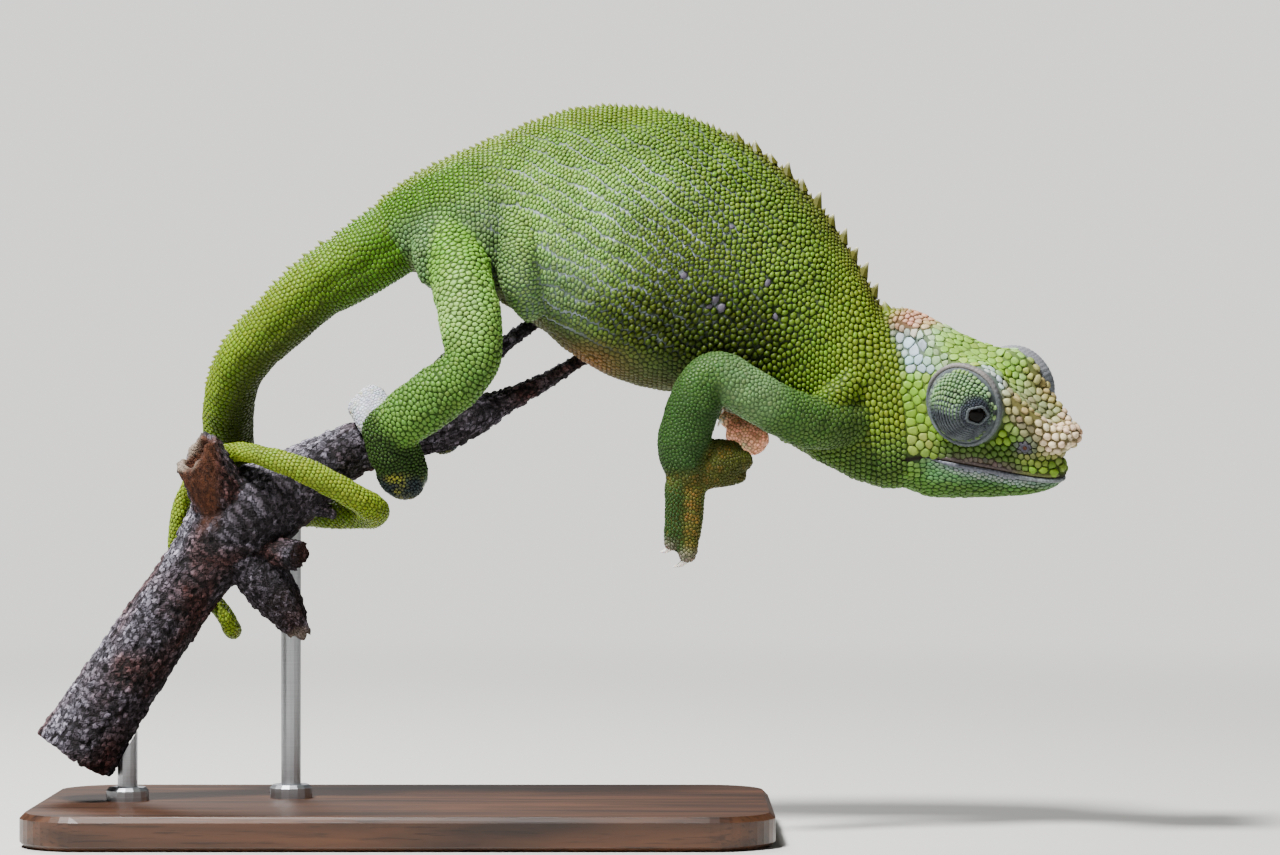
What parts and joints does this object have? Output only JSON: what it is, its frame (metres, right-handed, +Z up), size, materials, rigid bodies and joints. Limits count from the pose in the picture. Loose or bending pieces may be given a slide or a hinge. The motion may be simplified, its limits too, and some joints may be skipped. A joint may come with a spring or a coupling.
{
  "type": "two-horned chameleon on a branch",
  "caption": "Life-size still model of a green two-horned chameleon gripping a dead branch with hind feet and tail, on a flat base with two rods.",
  "frame": {"origin": "middle of the underside of the stand's flat base, which rests on the floor at z = 0", "axes": "+X is the way the animal faces, +Y is its left, +Z is up"},
  "size_m": [0.1553, 0.056, 0.1093],
  "materials": {
    "body_skin": "granular scaly skin, satin",
    "head_skin": "plated scaly skin, satin",
    "tail_skin": "ringed scaly skin, satin",
    "limb_skin": "granular scaly skin, satin",
    "palm_skin": "fine pebbled skin, satin",
    "eyeball": "wet gloss",
    "claw_horn": "pale horn, semi-gloss",
    "bark": "rough dead bark",
    "walnut": "oiled, satin",
    "rod_steel": "satin brushed"
  },
  "bodies": {
    "root": {"stand_base": "walnut", "stand_rod_1": "rod_steel", "stand_rod_2": "rod_steel", "perch_branch": "bark", "trunk": "body_skin", "neck": "body_skin", "head": "head_skin", "lower_jaw": "head_skin", "turret_right": "head_skin", "turret_left": "head_skin", "eye_right": "eyeball", "eye_left": "eyeball", "tail_1": "tail_skin", "tail_2": "tail_skin", "tail_3": "tail_skin", "tail_4": "tail_skin", "tail_5": "tail_skin", "tail_6": "tail_skin", "upper_leg_hind_right": "limb_skin", "lower_leg_hind_right": "limb_skin", "foot_hind_right": "palm_skin", "claw_hind_right_1": "claw_horn", "claw_hind_right_2": "claw_horn", "claw_hind_right_3": "claw_horn", "claw_hind_right_4": "claw_horn", "claw_hind_right_5": "claw_horn", "upper_leg_hind_left": "limb_skin", "lower_leg_hind_left": "limb_skin", "foot_hind_left": "palm_skin", "claw_hind_left_1": "claw_horn", "claw_hind_left_2": "claw_horn", "claw_hind_left_3": "claw_horn", "claw_hind_left_4": "claw_horn", "claw_hind_left_5": "claw_horn", "upper_leg_front_right": "limb_skin", "lower_leg_front_right": "limb_skin", "foot_front_right": "palm_skin", "claw_front_right_1": "claw_horn", "claw_front_right_2": "claw_horn", "claw_front_right_3": "claw_horn", "claw_front_right_4": "claw_horn", "claw_front_right_5": "claw_horn", "upper_leg_front_left": "limb_skin", "lower_leg_front_left": "limb_skin", "foot_front_left": "palm_skin", "claw_front_left_1": "claw_horn", "claw_front_left_2": "claw_horn", "claw_front_left_3": "claw_horn", "claw_front_left_4": "claw_horn", "claw_front_left_5": "claw_horn"}
  },
  "joints": []
}
